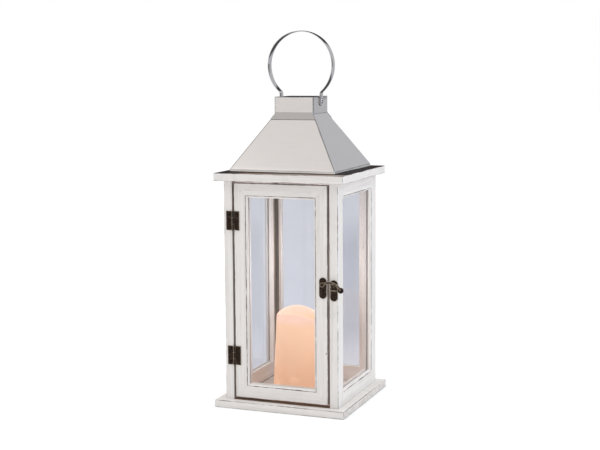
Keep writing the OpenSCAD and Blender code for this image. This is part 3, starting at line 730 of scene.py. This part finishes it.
def handle_rivets(made):
    """A domed head outside each tab and a flat one inside the neck."""
    bm = bmesh.new()
    for low, high in solids("handle_rivets"):
        side = 1 if high.x > 0 else -1
        radius = (high.z - low.z) / 2
        length = high.x - low.x
        rise, collar = 1.6 * MM, 1 * MM
        profile = [(0, 0), (radius * 0.75, 0), (radius * 0.8, 0.15 * MM), (radius * 0.8, collar),
                   (radius * 0.5, collar), (radius * 0.5, length - rise), (radius * 0.96, length - rise)]
        profile += dome_points(radius, length - rise, rise, 9)[1:]
        foot = (low + high) / 2
        foot.x = low.x if side > 0 else high.x
        turned(bm, profile, foot, (side, 0, 0), 40)
    piece("rivets", bm, made, "handle_rivets", wear=[0.0] * len(bm.verts))


# ---------------------------------------------------------------- candle


CANDLE_TURN = math.radians(19)
CANDLE_TILT = math.radians(13)
TROUGH_R = 50 * MM
TROUGH_RISE = 81.5 * MM
CANDLE_TAPER = 0.0475


def candle(made):
    """The shell: a tapered, slightly uneven wall with a melted rim around a shallow dish."""
    low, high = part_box("candle_shell")
    foot_r, foot_z = high.x, low.z
    rim_t, wall = 3.2 * MM, 2.2 * MM
    dish_z = foot_z + 68 * MM
    hole_r = 3 * MM
    ledge = 4 * MM

    def radius(z):
        return foot_r - CANDLE_TAPER * (z - foot_z)

    def rim_height(r, a):
        along = r * math.cos(a - CANDLE_TURN)
        across = r * math.sin(a - CANDLE_TURN)
        rise = (TROUGH_R - math.sqrt(TROUGH_R ** 2 - across ** 2)) / math.cos(CANDLE_TILT)
        return foot_z + TROUGH_RISE - along * math.tan(CANDLE_TILT) + rise

    rows = []
    turns = 144
    bend = 4 * MM
    for k in range(turns):
        a = 2 * math.pi * k / turns
        rim = rim_height(29.4 * MM, a) - 0.6 * MM
        lip_z = rim - 2 * MM
        ring = Vector((math.cos(a), math.sin(a), 0))
        profile = [(foot_r - 0.7 * MM, foot_z), (foot_r - 0.1 * MM, foot_z + 0.6 * MM)]
        for s in range(1, 25):
            z = foot_z + (lip_z - foot_z) * s / 24
            profile.append((radius(z), z))
        lip = rim_t / 2
        for s in range(9):
            t = math.pi * s / 8
            profile.append((radius(rim) - lip + lip * math.cos(t), lip_z + 2.2 * MM * math.sin(t)))
        floor = dish_z + 0.4 * MM
        for s in range(1, 9):
            z = lip_z + (floor + bend - lip_z) * s / 8
            profile.append((radius(z) - rim_t, z))
        inner = radius(floor) - rim_t
        for s in range(1, 6):
            t = math.pi / 2 * s / 5
            profile.append((inner - bend + bend * math.cos(t), floor + bend - bend * math.sin(t)))
        for share in (0.75, 0.5, 0.3):
            profile.append((hole_r + (inner - hole_r) * share, floor - 0.2 * MM * (1 - share)))
        profile += [(hole_r, dish_z), (hole_r, dish_z - wall)]
        roof = radius(dish_z) - wall - 1 * MM
        profile += [(roof * 0.5, dish_z - wall), (roof, dish_z - wall)]
        profile += [(radius(foot_z + ledge) - wall - 1 * MM, foot_z + ledge),
                    (foot_r - wall, foot_z + ledge), (foot_r - wall, foot_z)]
        row = []
        for r, z in profile:
            p = ring * r + Vector((0, 0, z))
            uneven = 0.0
            if r > radius(z) - 3.4 * MM and z > foot_z + 6 * MM:
                uneven = 0.35 * MM * (noise.noise(p * 45) - 0.35) + 0.1 * MM * noise.noise(p * 140)
            if z > dish_z + 6 * MM:
                p.z += min(0.0, 0.5 * MM * noise.noise(Vector((math.cos(a), math.sin(a), 0.3)) * 3.1))
            row.append(p + ring * min(0.0, uneven))
        rows.append(row)
    bm = bmesh.new()
    loft(bm, rows)
    piece("wax_shell", bm, made, "candle_shell", smooth=math.radians(60))


def flame(made):
    """A small flame-shaped cover that leans a little, on its round foot."""
    low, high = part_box("flame_tip")
    radius = (high.x - low.x) / 2
    height = high.z - low.z
    body_z = low.z + 5 * MM
    rows = []
    profile = [(radius * 0.6, low.z), (radius * 0.6, low.z + 4 * MM), (radius * 0.97, low.z + 4 * MM),
               (radius, low.z + 4.3 * MM), (radius * 0.97, body_z - 0.2 * MM)]
    steps = 26
    for k in range(1, steps):
        t = k / steps
        swell = math.sin(math.pi * (1 - t) ** 0.72) * (1 - 0.15 * t)
        profile.append((radius * 0.9 * swell + 0.12 * MM, body_z + (low.z + height - body_z) * t))
    for r, z in profile:
        lift = max(0.0, (z - body_z) / height)
        shift = Vector((0.9 * MM * math.sin(lift * 3.4), 0.5 * MM * math.sin(lift * 5), z))
        rows.append([shift + Vector((math.cos(a), math.sin(a), 0)) * r * (1 + 0.05 * lift * math.sin(3 * a))
                     for a in (2 * math.pi * k / 40 for k in range(40))])
    bm = bmesh.new()
    loft(bm, rows, caps=True)
    piece("flame_cover", bm, made, "flame_tip", smooth=math.radians(50))


# ---------------------------------------------------------------- build everything

woods = {axis: painted_wood(axis) for axis in (X, Y, Z)}
satin = sheet_steel("satin_steel", (0.80, 0.795, 0.79, 1), 0.15, (60, 60, 1500))
polish = sheet_steel("polished_steel", (0.74, 0.74, 0.75, 1), 0.07, (400, 60, 400))
bronze = antique_bronze()
zinc = moulded_plastic("zinc_plate", colour(196, 196, 190), 0.35, 1.0)
glass = window_glass()
wax = glowing_wax("wax", "candle_shell", colour(226, 168, 131), colour(253, 205, 169),
                  colour(255, 210, 190), 0.91)
lamp = glowing_wax("lamp_glow", "flame_tip", colour(255, 200, 152), colour(255, 214, 182),
                   colour(255, 222, 198), 0.8)
ivory = moulded_plastic("ivory_plastic", colour(232, 224, 208), 0.5)
black = moulded_plastic("black_plastic", colour(42, 42, 44), 0.45)
green = moulded_plastic("board_lacquer", colour(34, 92, 58), 0.3, scale=500)
sleeve = moulded_plastic("cell_sleeve", colour(52, 56, 66), 0.35, 0.6, 500)

for node, grain in WOODS.items():
    board(node, grain, woods[grain])
for node in ("left_glass", "right_glass", "back_glass", "door_glass"):
    hardware(node, glass, 0.2 * MM)
folded("roof_shell", satin, 1.4 * MM)
folded("neck", satin, 1.5 * MM)
ring_handle(polish)
handle_rivets(polish)

for level in ("upper", "lower"):
    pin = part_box(f"{level}_hinge_pin")
    pin_x = (pin[0].x + pin[1].x) / 2
    for leaf in ("post_leaf", "door_leaf"):
        front_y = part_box(f"{level}_hinge_{leaf}")[0].y
        # Painted highlight, partly wear: a bright line along each hinge's knuckles.
        barrel = [np.array((pin_x, front_y, end.z)) for end in pin]
        hardware(f"{level}_hinge_{leaf}", bronze, 0.16 * MM, pitch=1.3 * MM, wear_and_highlight_lines=[barrel + [1.15]])
    hardware(f"{level}_hinge_pin", bronze, 0.1 * MM)
for node in ("keeper_plate", "latch_plate"):
    hardware(node, bronze, 0.25 * MM, 3, pitch=1.3 * MM)
low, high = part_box("latch_hook")
# Painted highlight: a bright spot on top of the hook's ball, and wide bright edges along its arm.
top = np.array((high.x - BALL_R, low.y, low.z + 1.4 * BALL_R))
hardware("latch_hook", bronze, 0.5 * MM, 3, reach=1.5 * MM, pitch=1.3 * MM,
         wear_and_highlight_lines=[[top, top + [0, 0, 0.4 * MM], 1.2]])
for node in ("keeper_peg", "latch_rivet"):
    hardware(node, bronze, 0.15 * MM)
for node in ("post_hinge_nails", "door_hinge_nails", "keeper_nails", "latch_nails"):
    studs(node, bronze, (0, -1, 0), nail_profile)
studs("base_screws", zinc, (0, 0, -1), screw_profile, 48, cross_recess(SCREW_HEAD_R))
studs("top_screws", zinc, (0, 0, 1), screw_profile, 48, cross_recess(SCREW_HEAD_R))
studs("roof_screws", zinc, (0, 0, -1), pan_profile, 32)

candle(wax)
flame(lamp)
for node in ("candle_base", "battery_cover"):
    hardware(node, ivory, 0.25 * MM)
for node in ("switch_body", "switch_slider"):
    hardware(node, black, 0.15 * MM)
hardware("circuit_board", green, 0.1 * MM)
hardware("candle_led", lamp, 0.15 * MM)
hardware("battery_cells", sleeve, 0.3 * MM)
for node in ("board_screws", "upper_contacts", "cover_contacts"):
    hardware(node, zinc, 0.1 * MM)


# ---------------------------------------------------------------- studio


SKY = 0.58
FRONT_TONE = (0.84, 0.80, 0.775, 1)
BACK_TONE = (0.56, 0.56, 0.585, 1)
DARK_TONE = (0.05, 0.05, 0.055, 1)
# Painted reflection: what is seen through a pane is painted this cool grey for the panes' tint and
# reflections.
PANE_REFLECTION_TONE = (0.61, 0.615, 0.68, 1)
FLOOR_NEAR = (0.69, 0.66, 0.635, 1)
FLOOR_FAR = (0.45, 0.445, 0.475, 1)
SPLIT_LEFT = (0.60, 0.60, 0.615, 1)
SPLIT_RIGHT = (0.40, 0.40, 0.41, 1)
WHITE = (1, 1, 1, 1)
PAPER_Z = -0.05 * MM
PAPER_SIDES = 96
AIM = Vector((0, 0, 0.2))


def past_pane(tree, path):
    """1 for what is seen through a pane, 0 for what is seen directly."""
    return maths(tree, "MINIMUM", path.outputs["Transparent Depth"], 1.0)


def studio_floor():
    """Pale paper; seen through a pane it is painted a cool grey, and to polished metal it shows a painted
    reflection: pale in front, dark behind the lantern and grey far off.
    """
    bm = bmesh.new()
    centre = bm.verts.new((0, 0, PAPER_Z))
    turns = [math.tau * k / PAPER_SIDES for k in range(PAPER_SIDES)]
    rings = [[bm.verts.new((r * math.cos(a), r * math.sin(a), PAPER_Z)) for a in turns]
             for r in (0.4, 1.2, 3.0, 8.0)]
    for k in range(PAPER_SIDES):
        j = (k + 1) % PAPER_SIDES
        bm.faces.new((centre, rings[0][k], rings[0][j]))
        for a, b in zip(rings, rings[1:]):
            bm.faces.new((a[k], b[k], b[j], a[j]))
    mesh = bpy.data.meshes.new("studio_floor")
    bm.to_mesh(mesh)
    bm.free()
    made, tree, shader = material("floor_paper")
    cloud = ramp(tree, spots(tree, 6, 2.0), 0.3, 0.7)
    tint = mix(tree, cloud, (0.93, 0.93, 0.93, 1), (0.95, 0.95, 0.95, 1))
    y = add(tree, "SeparateXYZ", {0: add(tree, "TexCoord").outputs["Object"]}).outputs["Y"]
    # Painted reflection: glossy rays see these tones instead of the paper's own.
    mirrored = mix(tree, ramp(tree, y, 0.1, 0.4), FLOOR_NEAR, DARK_TONE)
    mirrored = mix(tree, ramp(tree, y, 1.1, 1.7), mirrored, FLOOR_FAR)
    path = add(tree, "LightPath")
    tint = mix(tree, past_pane(tree, path), tint, PANE_REFLECTION_TONE)
    tint = mix(tree, path.outputs["Is Glossy Ray"], tint, mirrored)
    tree.links.new(tint, shader.inputs["Base Color"])
    shader.inputs["Roughness"].default_value = 0.9
    shader.inputs["Specular IOR Level"].default_value = 0.1
    mesh.materials.append(made)
    floor = new_object("studio_floor", mesh)


def soft_light(name, place, size, power, tone):
    """A rectangular light that faces the lantern."""
    lamp_data = bpy.data.lights.new(name, "AREA")
    lamp_data.shape = "RECTANGLE"
    lamp_data.size, lamp_data.size_y = size
    lamp_data.energy = power
    lamp_data.color = tone
    obj = new_object(name, lamp_data)
    obj.location = place
    obj.rotation_euler = (AIM - Vector(place)).to_track_quat("-Z", "Y").to_euler()


def lights():
    """A wide overhead light, a faint key, a cool side light, and the glow that rides on the candle."""
    overhead = new_object("overhead", bpy.data.lights.new("overhead", "SUN"))
    overhead.data.energy = 1.85
    overhead.data.angle = math.radians(110)
    overhead.visible_glossy = False
    soft_light("key", (-1.4, -1.8, 1.9), (1.6, 1.6), 2.0, (1, 0.97, 0.94))
    soft_light("side", (2.2, -0.2, 1.2), (1.4, 1.8), 13, (0.78, 0.94, 1.14))
    glow = new_object("candle_glow", bpy.data.lights.new("candle_glow", "POINT"))
    glow.data.energy = 0.24
    glow.data.shadow_soft_size = 0.02
    glow.data.color = (1, 0.92, 0.89)
    glow.location = (0, 0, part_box("candle_shell")[1].z + 0.05)
    glow.visible_glossy = False
    glow.visible_camera = False
    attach(glow, BODY_OF["candle_shell"])


def surroundings():
    """A white room to the camera; what mirrors it sees its darker back and sides."""
    world = bpy.data.worlds.new("studio")
    bpy.context.scene.world = world
    world.use_nodes = True
    tree = world.node_tree
    ground = tree.nodes["Background"]
    path = add(tree, "LightPath")
    way = add(tree, "SeparateXYZ", {0: add(tree, "TexCoord").outputs["Generated"]})
    x, y, z = (way.outputs[a] for a in "XYZ")
    room = mix(tree, ramp(tree, y, -0.2, 0.5), FRONT_TONE, BACK_TONE)
    low = ramp(tree, maths(tree, "SUBTRACT", 0.2, maths(tree, "ABSOLUTE", z)), 0.0, 0.08)
    low = maths(tree, "MULTIPLY", low, ramp(tree, y, 0.5, 0.6))
    split = mix(tree, ramp(tree, x, 0.345, 0.37), SPLIT_LEFT, SPLIT_RIGHT)
    room = mix(tree, low, room, split)
    behind = ramp(tree, y, 0.02, 0.2)
    left = maths(tree, "SUBTRACT", maths(tree, "MULTIPLY", z, 0.85), x)
    left = maths(tree, "MULTIPLY", ramp(tree, left, 0.14, 0.26), behind)
    level = ramp(tree, maths(tree, "SUBTRACT", 0.45, maths(tree, "ABSOLUTE", z)), 0.0, 0.15)
    right = maths(tree, "MULTIPLY", ramp(tree, x, 0.5, 0.62), level)
    room = mix(tree, maths(tree, "MAXIMUM", left, right), room, DARK_TONE)
    sky = mix(tree, path.outputs["Is Glossy Ray"], (SKY, SKY, SKY, 1), room)
    # Painted reflection: seen through a pane, the white room is painted the panes' grey.
    seen = mix(tree, past_pane(tree, path), WHITE, PANE_REFLECTION_TONE)
    sky = mix(tree, path.outputs["Is Camera Ray"], sky, seen)
    tree.links.new(sky, ground.inputs["Color"])
    ground.inputs["Strength"].default_value = 1.0


def camera():
    """The camera that was fitted to the reference view."""
    data = bpy.data.cameras.new("view")
    data.sensor_width = 36
    data.lens = 75.49
    data.shift_x = 0.0113
    data.shift_y = -0.0212
    data.clip_start, data.clip_end = 0.05, 30
    obj = new_object("view", data)
    yaw, pitch, roll = 0.375, -0.119, -0.007
    ahead = Vector((-math.sin(yaw) * math.cos(pitch), math.cos(yaw) * math.cos(pitch), math.sin(pitch)))
    right = Vector((math.cos(yaw), math.sin(yaw), 0))
    up = right.cross(ahead)
    along = right * math.cos(roll) + up * math.sin(roll)
    above = up * math.cos(roll) - right * math.sin(roll)
    turn = Matrix((along, above, -ahead)).transposed().to_4x4()
    obj.matrix_world = Matrix.Translation((0.50177, -1.30134, 0.37699)) @ turn
    bpy.context.scene.camera = obj


bpy.context.scene.view_settings.view_transform = "Standard"
studio_floor()
surroundings()
lights()
camera()
